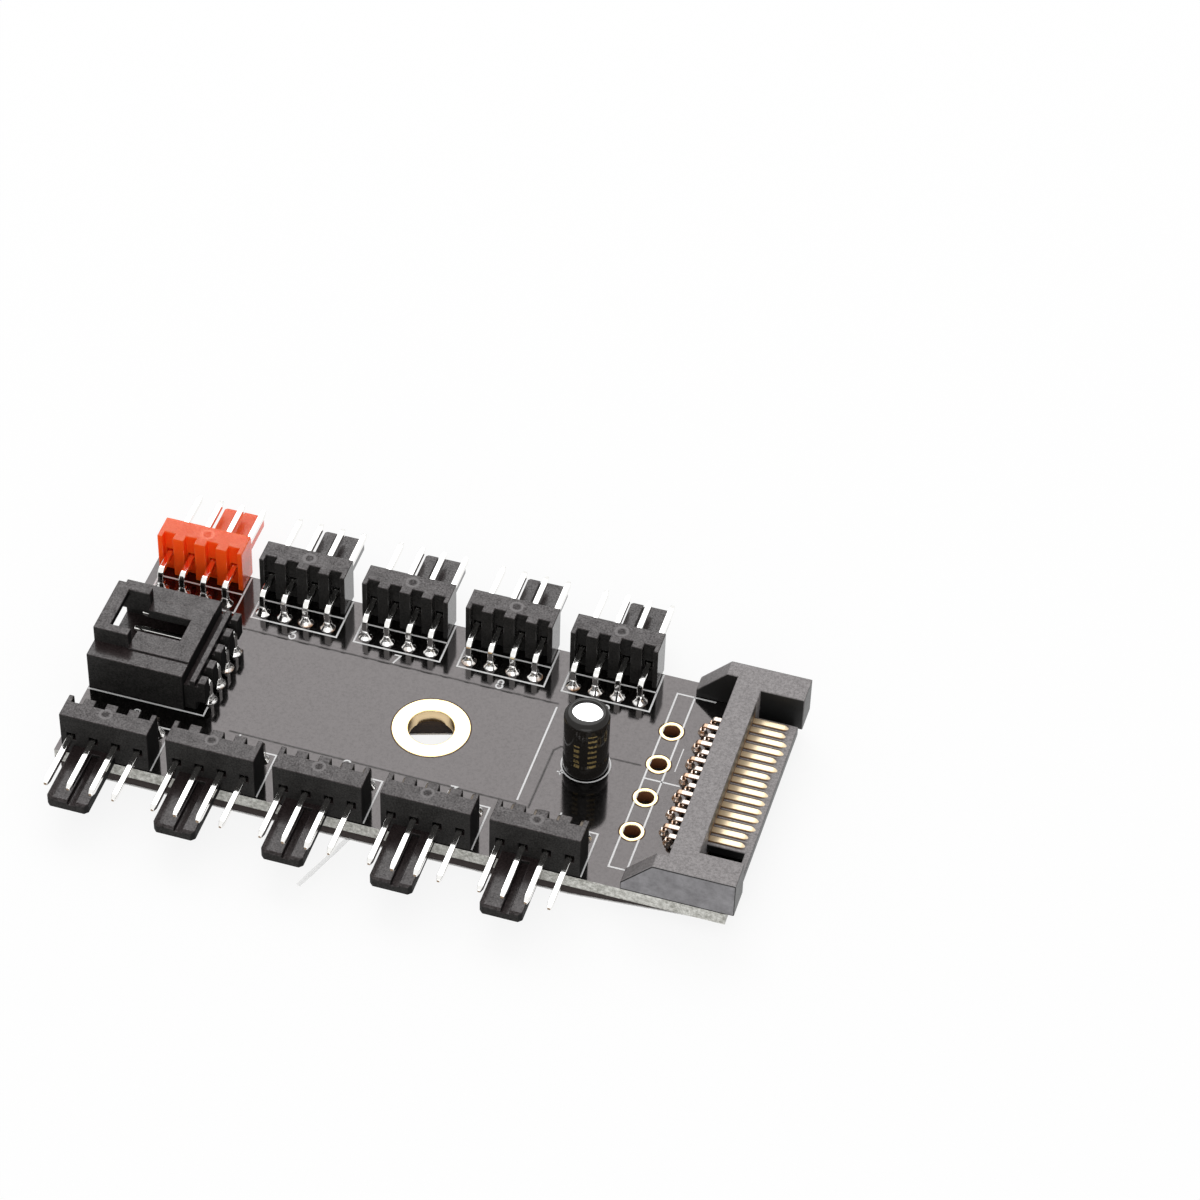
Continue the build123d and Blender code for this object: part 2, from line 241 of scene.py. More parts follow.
def nylon(name, wall, end_wall_shade, dark, pale, coat, body):
    material, flow, where = new_finish(name)
    x, y, z = axes(flow, where)
    look_x, look_y, look_z = facing(flow)
    grain = speckle(flow, where, 5.2, 4.0, 0.75)
    cloud = speckle(flow, where, 0.7, 3.0)
    rings = ejector_rings(flow, where)
    tone = within(flow, (grain - 0.5) * 3.4 + (cloud - 0.5) * 0.8 + 0.5 + rings * 0.7)
    shine = within(flow, (grain - 0.5) * 3.4 + (cloud - 0.5) * 0.8 + 0.52 + rings * 0.9)
    bump = relief(flow, grain + rings * 2.0, 0.5, 18.0)
    # Painted shade and light: walls take their own colours by the way they look, and end walls a darker painted shade.
    painted_wall_tone = shade(flow, abs(look_x) * (y < 12.0), shade(flow, tone, *wall), end_wall_shade)
    close_mixed(flow, {"Base Color": painted_wall_tone, "Roughness": 0.55, "Normal": bump, "IOR": 1.15, **body},
                (abs(look_x) * (y > 12.0), {"Base Color": painted_wall_tone, "Roughness": 0.2 + (grain - 0.5) * 0.3,
                                            "Normal": bump, "IOR": 1.8, **body}),
                (within(flow, look_z), {"Base Color": shade(flow, tone, dark, pale), "Coat Weight": shine,
                                        "Roughness": 0.34 + (grain - 0.5) * 0.3, "Normal": bump, **coat, **body}))
    finish[name] = material


# The first pair of colours is the walls' painted tone, the next one the end walls' painted shade, the last pair the
# tops.
nylon("black_nylon", (grey(0.009, 0.04), grey(0.031, 0.04)), grey(0.005), (0.011, 0.007, 0.007, 1.0),
      (0.044, 0.033, 0.033, 1.0), {"IOR": 1.25, "Coat IOR": 1.45, "Coat Roughness": 0.16}, {})
nylon("red_nylon", ((0.97, 0.075, 0.006, 1.0), (1.0, 0.10, 0.010, 1.0)), (0.97, 0.08, 0.01, 1.0),
      (0.69, 0.070, 0.006, 1.0), (0.81, 0.112, 0.012, 1.0), {"IOR": 1.25, "Coat IOR": 1.38, "Coat Roughness": 0.2},
      {"Subsurface Weight": 0.5, "Subsurface Radius": (1.0, 0.22, 0.06), "Subsurface Scale": 0.0035})
print("nylon finishes:", sorted(finish))

# %% [markdown]
# The power plug is moulded in another plastic, paler and duller, with a fine spark-eroded texture.
# Beside each blade the tongue has a narrow slot, a shallow relief whose dark brown is painted shade. The slots repeat
# with the blades' pitch, so a modulo on Y finds them. The walls are painted by the way they look and where they stand:
# outer walls a bluish grey, inner walls near black, the mouth's back wall and the tongue's end face dark, with thin
# dark lines along the outer edges and at the outer walls' foot. All of these are painted shade and light. The way a
# face looks and its place tell them apart.

# %% Charcoal plastic of the power plug
blade_pitch = 1.27
middle_blade = 0.95
tongue_level = 3.9
plug_side = 15.4


def charcoal():
    material, flow, where = new_finish("charcoal_nylon")
    x, y, z = axes(flow, where)
    look_x, look_y, look_z = facing(flow)
    grain = speckle(flow, where, 3.8, 4.0, 0.8)
    smear = speckle(flow, where, 0.8, 3.0)
    tone = within(flow, (grain - 0.5) * 3.0 + 0.5)
    colour = shade(flow, tone, (0.115, 0.104, 0.104, 1.0), (0.335, 0.314, 0.314, 1.0))
    # Painted shade and light: outer walls are painted a mottled bluish grey, inner walls near black.
    outside = abs(y) > plug_side
    wall = walls_along(flow)
    wall_mottle = within(flow, (smear - 0.5) * 2.0 + (grain - 0.5) * 1.0 + 0.5)
    outer_wall_shade = shade(flow, wall_mottle, (0.13, 0.126, 0.132, 1.0), (0.25, 0.245, 0.255, 1.0))
    colour = shade(flow, wall * outside, colour, outer_wall_shade)
    colour = shade(flow, wall * (1 - outside), colour, grey(0.008))
    # The slots are a shallow relief; their dark brown colour is painted shade.
    pitch_place = flow.maths("FLOORED_MODULO", y - (middle_blade - blade_pitch / 2), blade_pitch)
    beside = abs(pitch_place - blade_pitch / 2)
    on_tongue = (x > 33.4) * (z > tongue_level - 0.05) * (z < tongue_level + 0.05) * (y < 10.4) * (y > -8.6)
    slot = within(flow, (0.60 - beside) * 10.0) * within(flow, (37.6 - x) * 2.0) * on_tongue
    colour = shade(flow, slot, colour, (0.055, 0.034, 0.029, 1.0))
    # Painted shade: the mouth's back wall is painted dark, near black where the blades go in and dark brown between
    # them.
    mouth_wall_shade = (look_x > 0.5) * (x > 33.0) * (x < 34.2) * (y < 10.4) * (y > -8.6)
    opening = (beside < 0.45) * (z < 5.0)
    colour = shade(flow, mouth_wall_shade, colour, shade(flow, opening, grey(0.05, 0.1), (0.14, 0.075, 0.032, 1.0)))
    # Painted shade: the tongue's end face is painted darker.
    colour = shade(flow, (look_x > 0.7) * (x > 38.0), colour, shade(flow, wall_mottle, grey(0.045), grey(0.11)))
    # Painted shade: thin dark lines on the rounded outer edges, and at the outer walls' foot for the shadow of the gap
    # under the plug.
    edge_shade = (abs(look_y) > 0.25) * (abs(look_y) < 0.96) * outside + wall * outside * (z < 1.74)
    colour = shade(flow, within(flow, edge_shade), colour, grey(0.012))
    close(flow, {"Base Color": colour, "Roughness": 0.45 + (grain - 0.5) * 0.3,
                 "Normal": relief(flow, grain - slot, 0.6, 25.0), "IOR": 1.42})
    finish["charcoal_nylon"] = material


charcoal()
print("charcoal plastic made")

# %% [markdown]
# A circuit board is glass-fibre laminate with copper tracks, under a coat of black lacquer, the solder mask.
# The lacquer is a dark mirror: it shows a lamp behind it as mid grey and the headers as black reflections.
# A near-black colour with a lacquer's index of refraction gives that, with a little waviness from the weave.
# Gaps between the sheets of copper show as thin dull trenches. A distance to a line segment draws each one,
# and a Mix Shader takes the gloss away there, because a relief alone would still mirror white.
# Sawn edges show the bare laminate, and a step in the surface normal tells edge from face.

# %% Solder mask and sawn laminate
copper_gaps = [((-24.5, 7.78), (12.0, 7.72)), ((-20.5, -7.25), (12.0, -7.62)), ((13.5, -7.8), (13.6, 1.0)),
               ((13.6, 1.0), (14.2, 1.75)), ((14.2, 1.75), (23.1, 1.8))]


def trench(flow, x, y, start, end, width):
    """One on a line from start to end, falling to nothing at its sides."""
    run = (end[0] - start[0], end[1] - start[1])
    square = run[0] ** 2 + run[1] ** 2
    place = within(flow, ((x - start[0]) * run[0] + (y - start[1]) * run[1]) / square)
    off_x = x - start[0] - place * run[0]
    off_y = y - start[1] - place * run[1]
    away = flow.maths("SQRT", off_x * off_x + off_y * off_y)
    return 1 - flow.maths("MINIMUM", away / width, 1.0)


def board_finish():
    material, flow, where = new_finish("solder_mask")
    x, y, z = axes(flow, where)
    look_x, look_y, look_z = facing(flow)
    face = abs(look_z) > 0.5
    weave = speckle(flow, where, 1.6, 2.0)
    dust = speckle(flow, where, 3.4, 4.0, 0.8)
    gaps = trench(flow, x, y, *copper_gaps[0], 0.2)
    for start, end in copper_gaps[1:]:
        gaps = flow.maths("MAXIMUM", gaps, trench(flow, x, y, start, end, 0.2))
    lacquer = shade(flow, within(flow, (dust - 0.5) * 3.0 + 0.3), grey(0.0003), grey(0.004, 0.04))
    fibre = within(flow, (speckle(flow, where, 2.4, 4.0, 0.7) - 0.5) * 3.4 + 0.5)
    laminate = shade(flow, fibre, (0.25, 0.25, 0.22, 1.0), (0.67, 0.67, 0.63, 1.0))
    height = weave * 0.3 + dust * 0.25 - gaps * 2.0
    close_mixed(flow, {"Base Color": shade(flow, face, laminate, lacquer),
                       "Roughness": face * (0.05 + dust * 0.08) + (1 - face) * 0.7,
                       "Normal": relief(flow, height, 0.3, 9.0), "IOR": 1.70,
                       "Specular Tint": (1.0, 0.925, 0.925, 1.0)},
                (face * within(flow, gaps * 0.8 + (dust - 0.45) * 1.1),
                 {"Base Color": grey(0.012, 0.1), "Roughness": 0.5, "IOR": 1.3}))
    finish["solder_mask"] = material


def dress(node, material):
    """Give a CAD node its finish."""
    nodes[node].data.materials.clear()
    nodes[node].data.materials.append(finish[material])


board_finish()
dress("circuit_board", "solder_mask")
print("board lacquer made")

# %% [markdown]
# Pins are square brass wire with bright tin on it, drawn through a die, so fine streaks run along them.
# They are smooth enough to mirror the dark housing beside them, which is why they turn black near it.
# On the front row's pins the part past the bend, in the shade of the comb, is painted dark brown and made rougher:
# painted shade.
# Solder is nearly the same metal, but it froze from a melt: smooth, with a trace of brown flux at its foot.
# Gold plate is thin and pale. All of them are metals, so the colour is their reflection.

# %% Tin, gold and aluminium
bend_start = 3.85
front_bends = (-12.4, -7.0)


def metal(name, dark, pale, rough, spread, stretch=(1.0, 1.0, 1.0), bent=0.0):
    material, flow, where = new_finish(name)
    x, y, z = axes(flow, where)
    drawn = flow.node("VectorMath", {"operation": "MULTIPLY"}, {0: where, 1: stretch})
    streak = speckle(flow, drawn, 5.0, 3.0)
    patch = speckle(flow, where, 0.9, 2.0)
    # Painted shade: past the bend of the front row's pins, in the comb's shade, the colour is painted dark brown and
    # the tin made rougher; bent switches it on.
    comb_shade = within(flow, (z - bend_start) * 5.0) * (y > front_bends[0]) * (y < front_bends[1]) * bent
    bright = shade(flow, streak * 0.5 + patch * 0.5, dark, pale)
    close(flow, {"Base Color": shade(flow, comb_shade, bright, (0.10, 0.085, 0.07, 1.0)), "Metallic": 1.0,
                 "Roughness": rough + (patch - 0.5) * spread + (streak - 0.5) * spread * 0.5 + comb_shade * 0.35,
                 "Normal": relief(flow, streak, 0.2, 2.0)})
    finish[name] = material


metal("tinned_brass", (0.86, 0.85, 0.82, 1.0), (0.99, 0.985, 0.97, 1.0), 0.09, 0.08, (1.0, 0.12, 1.0), 1.0)
metal("gold_plate", (0.86, 0.66, 0.32, 1.0), (0.98, 0.79, 0.43, 1.0), 0.18, 0.15)
metal("gold_barrel", (0.78, 0.56, 0.30, 1.0), (0.97, 0.80, 0.52, 1.0), 0.32, 0.2)
metal("can_aluminium", (0.90, 0.90, 0.91, 1.0), (0.99, 0.99, 0.99, 1.0), 0.10, 0.08)
print("metals made")

# %% [markdown]
# Three more metal finishes need a mask. The flux on solder lies low and in patches, so height and noise place it.
# The blades of the plug are gold where the socket's springs touch and tinned where they are soldered, and the
# change is hidden inside the block, so their place along X decides. A cut pin end shows dull brass.

# %% Solder, blades and cut ends
plug_joints = 27.0
outer_legs = 28.75
gold_start = 31.5


def solder_finish():
    material, flow, where = new_finish("solder")
    x, y, z = axes(flow, where)
    patch = speckle(flow, where, 0.45, 2.0)
    ripple = speckle(flow, where, 3.0, 2.0)
    low = within(flow, (2.05 - z) * 2.4)
    flux = within(flow, low * within(flow, (patch - 0.56) * 9.0) + (x > plug_joints) * within(flow, ripple * 2.4 - 0.6))
    bright = shade(flow, ripple, (0.80, 0.79, 0.77, 1.0), (0.97, 0.96, 0.95, 1.0))
    close(flow, {"Base Color": shade(flow, flux, bright, (0.42, 0.20, 0.07, 1.0)), "Metallic": 1 - flux * 0.5,
                 "Roughness": 0.10 + flux * 0.2 + (ripple - 0.5) * 0.08, "Normal": relief(flow, ripple, 0.25, 12.0)})
    finish["solder"] = material


def blade_finish():
    material, flow, where = new_finish("blade_plate")
    x, y, z = axes(flow, where)
    look_x, look_y, look_z = facing(flow)
    patch = speckle(flow, where, 1.2, 3.0)
    gold = shade(flow, patch, (0.84, 0.66, 0.42, 1.0), (0.95, 0.80, 0.56, 1.0))
    # Painted shade: faces that look along Y, the rolled-off sides of blades and legs, are painted brown.
    cut = within(flow, (abs(look_y) - 0.45) * 4.0)
    gold = shade(flow, cut, gold, (0.40, 0.21, 0.07, 1.0))
    tin = shade(flow, patch, (0.48, 0.40, 0.34, 1.0), (0.80, 0.72, 0.66, 1.0))
    # The tinned legs get the same painted shade on their sides, and are browner beyond outer_legs.
    tin = shade(flow, within(flow, cut + (x < outer_legs) * 0.7), tin, (0.34, 0.17, 0.08, 1.0))
    gilt = x > gold_start
    close(flow, {"Base Color": shade(flow, gilt, tin, gold), "Metallic": 1 - gilt * 0.45,
                 "Roughness": 0.34 + (patch - 0.5) * 0.2, "Normal": relief(flow, patch, 0.2, 4.0)})
    finish["blade_plate"] = material


def matt(name, dark, pale, per_mm, rough, microns):
    material, flow, where = new_finish(name)
    pore = speckle(flow, where, per_mm, 4.0, 0.7)
    close(flow, {"Base Color": shade(flow, pore, dark, pale), "Roughness": rough + (pore - 0.5) * 0.2,
                 "Normal": relief(flow, pore, 0.8, microns)})
    finish[name] = material


solder_finish()
blade_finish()
matt("cut_brass", (0.16, 0.10, 0.06, 1.0), (0.34, 0.24, 0.15, 1.0), 9.0, 0.6, 6.0)
print("finishes so far:", sorted(finish))

# %% [markdown]
# The capacitor wears a shrunk plastic sleeve, glossy black, with small printed dashes that mark its minus lead.
# They are placed by the angle round the can and by height, so no picture is needed.
# The rubber seal, the foam pad, bare laminate and ink are matt: most of their look is relief.

# %% Sleeve, rubber, foam, laminate and ink
can_x = 17.5


def sleeve_finish():
    material, flow, where = new_finish("black_sleeve")
    x, y, z = axes(flow, where)
    angle = flow.maths("ARCTAN2", y, x - can_x)
    step = abs(flow.maths("FLOORED_MODULO", z - 0.2, 0.8) - 0.4)
    dash = (abs(angle + 1.02) < 0.20) * (step < 0.16) * (z < 8.6) * (z > 3.4)
    dash = dash + (abs(angle + 1.72) < 0.13) * (step < 0.22) * (z < 7.0) * (z > 3.4)
    dust = speckle(flow, where, 6.0, 3.0)
    worn = within(flow, (dust - 0.35) * 5.0)
    plain = shade(flow, dust, grey(0.005, 0.1), grey(0.016, 0.15))
    close(flow, {"Base Color": shade(flow, dash * worn, plain, (0.24, 0.175, 0.07, 1.0)),
                 "Roughness": 0.10 + (dust - 0.5) * 0.1 + dash * 0.2,
                 "Normal": relief(flow, dust, 0.15, 6.0), "IOR": 1.33})
    finish["black_sleeve"] = material


sleeve_finish()
matt("black_rubber", grey(0.015), grey(0.035), 5.0, 0.75, 15.0)
matt("black_foam", (0.006, 0.004, 0.004, 1.0), (0.050, 0.036, 0.032, 1.0), 4.0, 0.9, 70.0)
matt("brown_laminate", (0.10, 0.034, 0.012, 1.0), (0.24, 0.095, 0.036, 1.0), 4.0, 0.55, 10.0)
matt("burnt_laminate", (0.030, 0.010, 0.004, 1.0), (0.085, 0.032, 0.013, 1.0), 4.0, 0.55, 10.0)
matt("white_ink", grey(0.66), grey(0.98), 8.0, 0.5, 6.0)
print("finishes so far:", sorted(finish))

# %% [markdown]
# No moulded edge is perfectly sharp: it has a radius of a tenth of a millimetre or so, and that radius catches
# the light in a thin bright line. The CAD solids are sharp, so each moulding is replaced by a softened copy.
# A Bevel modifier would do for a box. Here mesh code bevels only the outer edges, because an inner corner has
# no room for a round beside the pin holes. The strips are shaded smooth and the walls between them stay flat.

# %% Softened copies of the mouldings
edge_round = 0.08


def linked(name, data):
    made = bpy.data.objects.new(name, data)
    bpy.context.scene.collection.objects.link(made)
    return made


def keep(name, shape, materials, replaced=()):
    """Turn a worked shape into a piece of the hub, with its finish, and let go of the shape."""
    mesh = bpy.data.meshes.new(name)
    shape.to_mesh(mesh)
    shape.free()
    for material in materials:
        mesh.materials.append(finish[material])
    piece = linked(name, mesh)
    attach(piece, "root")
    if replaced:
        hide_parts(*replaced)
    return piece


def welded(node):
    shape = bmesh.new()
    shape.from_mesh(nodes[node].data)
    bmesh.ops.remove_doubles(shape, verts=shape.verts, dist=0.001 * MM)
    return shape


def clean_shape(node):
    """A node's mesh without its triangulation."""
    shape = welded(node)
    bmesh.ops.dissolve_limit(shape, angle_limit=math.radians(1.5), verts=shape.verts, edges=shape.edges)
    return shape


def soften(shape, radius):
    outer = [edge for edge in shape.edges
             if edge.is_manifold and edge.is_convex and edge.calc_face_angle() > math.radians(25)]
    made = bmesh.ops.bevel(shape, geom=outer, offset=radius * MM, offset_type="OFFSET", segments=3,
                           profile=0.5, affect="EDGES", clamp_overlap=False)
    for face in shape.faces:
        face.smooth = False
    for face in made["faces"]:
        face.smooth = True


def lead_in(shape, node):
    """A slanting edge at the tip of the locking tab, where a lead's plug slides on."""
    low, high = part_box(node)
    tip = low[1] if abs(low[1]) > abs(high[1]) else high[1]
    tab_top = 2.9 * MM
    edges = [edge for edge in shape.edges
             if all(abs(vert.co.y - tip) < 0.05 * MM and abs(vert.co.z - tab_top) < 0.05 * MM for vert in edge.verts)]
    bmesh.ops.bevel(shape, geom=edges, offset=0.22 * MM, offset_type="OFFSET", segments=1, affect="EDGES",
                    clamp_overlap=False)


def moulding(node, material, radius=edge_round, tabbed=False):
    shape = clean_shape(node)
    if tabbed:
        lead_in(shape, node)
    soften(shape, radius)
    return keep(node + "_soft", shape, [material], [node])


fan_housings = sorted(name for name in nodes if name.startswith(("front_housing", "back_housing")))
for node in fan_housings:
    moulding(node, "black_nylon", tabbed=True)
moulding("red_housing", "red_nylon", tabbed=True)
moulding("input_housing", "black_nylon")
moulding("plug_housing", "charcoal_nylon", 0.10)
print("softened", len(fan_housings) + 3, "mouldings")

# %% [markdown]
# A pin is square wire: its tail stands in the board, it turns through a bend and runs out to a blunt, cut tip.
# The CAD has that as straight runs. Here the wire is skinned from rounded squares set along the same line,
# so the bend is round and the long edges shine. The CAD's solids give each pin's place and reach.

# %% Square wire along a line
def islands(node):
    """The lowest and highest corner of each separate solid of a node, in millimetres, in a fixed order."""
    shape = welded(node)
    left = set(shape.verts)
    boxes = []
    while left:
        reach = [left.pop()]
        found = []
        while reach:
            vert = reach.pop()
            found.append(vert.co / MM)
            for edge in vert.link_edges:
                other = edge.other_vert(vert)
                if other in left:
                    left.remove(other)
                    reach.append(other)
        low = Vector([min(point[k] for point in found) for k in range(3)])
        high = Vector([max(point[k] for point in found) for k in range(3)])
        boxes.append((low, high))
    shape.free()
    return sorted(boxes, key=lambda box: (round(box[0].x, 2), round(box[0].y, 2)))


def rounded_oblong(half_wide, half_thick, corner):
    """Points round an oblong, three on each rounded corner."""
    points = []
    for quarter, (across, upward) in enumerate(((1, 1), (-1, 1), (-1, -1), (1, -1))):
        for turn in (0, 45, 90):
            angle = math.radians(90 * quarter + turn)
            points.append((across * (half_wide - corner) + corner * math.cos(angle),
                           upward * (half_thick - corner) + corner * math.sin(angle)))
    return points


def skinned(shape, stations, cut_end=0):
    """Skin oblongs set along a line: (centre, side, up, half width, half thickness), with closed ends."""
    rings = []
    for centre, side, up, wide, thick in stations:
        corner = min(0.08, wide * 0.4, thick * 0.45)
        rings.append([shape.verts.new((centre + side * a + up * b) * MM)
                      for a, b in rounded_oblong(wide, thick, corner)])
    count = len(rings[0])
    for here, there in zip(rings, rings[1:]):
        for k in range(count):
            face = shape.faces.new((here[k], here[(k + 1) % count], there[(k + 1) % count], there[k]))
            face.smooth = k % 3 != 2
    shape.faces.new(rings[0][::-1])
    shape.faces.new(rings[-1]).material_index = cut_end


up_axis = Vector((0, 0, 1))


def bend(row, ahead, level, radius, steps=8):
    """Centres and up directions along a quarter turn from an upright leg to a level run."""
    middle = Vector((row.x, row.y, level - radius)) + ahead * radius
    turns = [math.radians(90 * k / steps) for k in range(steps + 1)]
    ups = [up_axis * math.sin(turn) - ahead * math.cos(turn) for turn in turns]
    return [(middle + up * radius, up) for up in ups]


print("wire helpers are ready")

# %% [markdown]
# Ten fan headers and the input header have four pins each. The tip is tapered on all four sides by the cutter,
# and its end shows the bare brass. A small set-off in the taper keeps the tips from looking machine-perfect.

# %% Pins
wire_half = 0.32
bend_radius = 0.55


def pin(shape, low, high, ahead, rng):
    side = up_axis.cross(ahead)
    level = high.z - wire_half
    centre = (low + high) / 2
    reach = (high - low).dot(Vector((abs(ahead.x), abs(ahead.y), 0))) / 2
    row = centre - ahead * (reach - wire_half)
    tip = centre + ahead * reach
    foot = Vector((row.x, row.y, low.z))
    stations = [(foot, side, -ahead, 0.2, 0.2), (foot + up_axis * 0.35, side, -ahead, wire_half, wire_half)]
    stations += [(place, side, up, wire_half, wire_half) for place, up in bend(row, ahead, level, bend_radius)]
    taper = rng.uniform(0.55, 0.75)
    blunt = rng.uniform(0.16, 0.20)
    run = Vector((tip.x, tip.y, level))
    stations += [(run - ahead * taper, side, up_axis, wire_half, wire_half),
                 (run - ahead * 0.05, side, up_axis, blunt + 0.03, blunt + 0.03),
                 (run, side, up_axis, blunt - 0.03, blunt - 0.03)]
    skinned(shape, stations, cut_end=1)


def pins(node, ahead):
    shape = bmesh.new()
    rng = random.Random(node)
    for low, high in islands(node):
        pin(shape, low, high, Vector(ahead), rng)
    return keep(node + "_wire", shape, ["tinned_brass", "cut_brass"], [node])


pin_nodes = sorted(name for name in nodes if "_pins" in name)
for node in pin_nodes:
    if node.startswith("front"):
        pins(node, (0, -1, 0))
    elif node.startswith("input"):
        pins(node, (-1, 0, 0))
    else:
        pins(node, (0, 1, 0))
print("bent the pins of", len(pin_nodes), "connectors")

# %% [markdown]
# The power plug's fifteen blades are stamped from strip. Each is soldered at a narrow leg, bends into the block,
# steps up out of sight and runs along the tongue to a bullet-shaped point, so that the socket's springs ride up.
# They are skinned as the pins are, from soft ovals in place of squares, because stamping rolls their edges.

# %% Blades of the power plug
leg_level = 2.73
strip_half = 0.125


def crowned(shape, stations, sides=20):
    """Skin soft ovals set along a line, so that the top is crowned and the edges roll off."""
    rings = []
    for centre, side, up, wide, thick in stations:
        ring = []
        for k in range(sides):
            angle = 2 * math.pi * (k + 0.5) / sides
            c = math.cos(angle)
            s = math.sin(angle)
            a = math.copysign(abs(c) ** 0.4, c) * wide
            b = math.copysign(abs(s) ** 0.4, s) * thick
            ring.append(shape.verts.new((centre + side * a + up * b) * MM))
        rings.append(ring)
    for here, there in zip(rings, rings[1:]):
        for k in range(sides):
            shape.faces.new((here[k - 1], here[k], there[k], there[k - 1])).smooth = True
    shape.faces.new(rings[0][::-1])
    shape.faces.new(rings[-1])


def blade(shape, low, high, rng):
    ahead = Vector((1, 0, 0))
    side = up_axis.cross(ahead)
    row = Vector((low.x + 0.13, (low.y + high.y) / 2, 0))
    top = high.z - strip_half
    leg = rng.uniform(0.29, 0.32)
    foot = Vector((row.x, row.y, low.z))
    stations = [(foot, side, -ahead, 0.2, strip_half), (foot + up_axis * 0.4, side, -ahead, leg, strip_half)]
    stations += [(place, side, up, leg, strip_half) for place, up in bend(row, ahead, leg_level, 0.28, 6)]
    for x, z, wide in ((31.2, leg_level, leg), (32.4, top, 0.40), (high.x - 0.8, top, 0.40)):
        stations.append((Vector((x, row.y, z)), side, up_axis, wide, strip_half))
    for back, share in ((0.62, 0.99), (0.45, 0.92), (0.30, 0.78), (0.16, 0.56), (0.06, 0.34), (0.0, 0.12)):
        centre = Vector((high.x - back, row.y, top - strip_half * (1 - share) * 0.5))
        stations.append((centre, side, up_axis, 0.40 * share, strip_half * max(share, 0.45)))
    crowned(shape, stations)


def blades():
    shape = bmesh.new()
    rng = random.Random("blades")
    for low, high in islands("plug_blades"):
        blade(shape, low, high, rng)
    return keep("plug_strip_blades", shape, ["blade_plate"], ["plug_blades"])


blades()
print("stamped", len(islands("plug_blades")), "blades")

# %% [markdown]
# A soldered joint is a small concave cone: molten solder wets the pad and climbs the pin. In the CAD it is
# a four-sided stub. Here each stub is replaced by a turned cone whose rings go from round, at the foot,
# to nearly square, where they meet the pin. Each one differs a little, as joints do.

# %% Solder cones
def turned(shape, profile, centre, sides=28, squareness=None):
    """Turn (radius, height) pairs about an upright axis; squareness bends a ring towards a square."""
    rings = []
    for step, (radius, height) in enumerate(profile):
        power = squareness[step] if squareness else 2.0
        ring = []
        for k in range(sides):
            angle = 2 * math.pi * (k + 0.5) / sides
            c = math.cos(angle)
            s = math.sin(angle)
            reach = radius * (abs(c) ** power + abs(s) ** power) ** (-1 / power)
            ring.append(shape.verts.new(((centre[0] + reach * c) * MM, (centre[1] + reach * s) * MM, height * MM)))
        rings.append(ring)
    strips = []
    for low, high in zip(rings, rings[1:]):
        strip = [shape.faces.new((low[k], low[(k + 1) % sides], high[(k + 1) % sides], high[k]))
                 for k in range(sides)]
        for face in strip:
            face.smooth = True
        strips.append(strip)
    return rings, strips


def solder_cones(node, neck, spread):
    shape = bmesh.new()
    rng = random.Random(node)
    steps = (0.0, 0.04, 0.10, 0.20, 0.34, 0.52, 0.72, 0.90, 1.0)
    widths = (1.0, 0.98, 0.90, 0.72, 0.48, 0.26, 0.11, 0.02, -0.3)
    for low, high in islands(node):
        foot = (high.x - low.x) / 2 * spread * rng.uniform(0.96, 1.04)
        tall = (high.z - low.z) * rng.uniform(0.95, 1.15)
        profile = [(neck + (foot - neck) * width, low.z + tall * step) for step, width in zip(steps, widths)]
        rings, strips = turned(shape, profile, (low + high) / 2, 32, [2.0 + 2.0 * step ** 2 for step in steps])
        shape.faces.new(rings[-1])
        shape.faces.new(rings[0][::-1])
    return keep(node + "_cones", shape, ["solder"], [node])


solder_nodes = sorted(name for name in nodes if "_solder" in name)
for node in solder_nodes:
    if node.startswith("plug"):
        solder_cones(node, 0.34, 1.0)
    elif node.startswith("capacitor"):
        solder_cones(node, 0.30, 1.0)
    else:
        solder_cones(node, 0.36, 1.17)
print("soldered", sum(len(islands(node)) for node in solder_nodes), "joints")

# %% [markdown]
# Plated holes are copper eyelets that line a drilled hole, plated with gold where nothing is soldered in.
# A turned profile gives each its flat land, its rolled-over lip and its barrel in one go. The lacquer stops
# just short of the land, so a thin brown line of laminate runs round it: a flat ring, printed as a piece.

# %% Mounting ring and power pads
board_top = 1.6


def eyelets(name, node, centres, land, bore, barrel):
    shape = bmesh.new()
    proud = board_top + 0.05
    profile = [(land, board_top), (land - 0.01, proud - 0.015), (land - 0.06, proud), (bore + 0.10, proud),
               (bore + 0.03, proud - 0.02), (bore, board_top - 0.06), (bore, -0.05)]
    for centre in centres:
        rings, strips = turned(shape, profile, centre, 72)
        for face in strips[-1]:
            face.material_index = 1
    return keep(name, shape, ["gold_plate", barrel], [node])


def laminate_rings(rings):
    shape = bmesh.new()
    for centre, land in rings:
        profile = [(land + 0.13, board_top + 0.002), (land + 0.12, board_top + 0.006), (land, board_top + 0.006)]
        turned(shape, profile, centre, 72)
    return keep("laminate_rings", shape, ["burnt_laminate"])


pad_centres = [(low + high) / 2 for low, high in islands("power_pads")]
ring_land = 4.3
pad_land = 1.35
eyelets("mounting_eyelet", "mounting_ring", [(0.0, 0.0)], ring_land, 2.52, "gold_barrel")
eyelets("power_eyelets", "power_pads", pad_centres, pad_land, 0.93, "brown_laminate")
laminate_rings([((0.0, 0.0), ring_land)] + [(centre, pad_land) for centre in pad_centres])
print("eyelets:", 1 + len(pad_centres))

# %% [markdown]
# The sleeve of the capacitor is drawn tight over a drawn can: it follows the crimp near the bottom, rolls over
# the rim and stops short of the middle, where the bare can shows, a little lower. One turned profile gives the
# sleeve with its crimp and shoulder, and another the can. Heat never shrinks the lip evenly, so the opening
# is then pushed a little to one side.

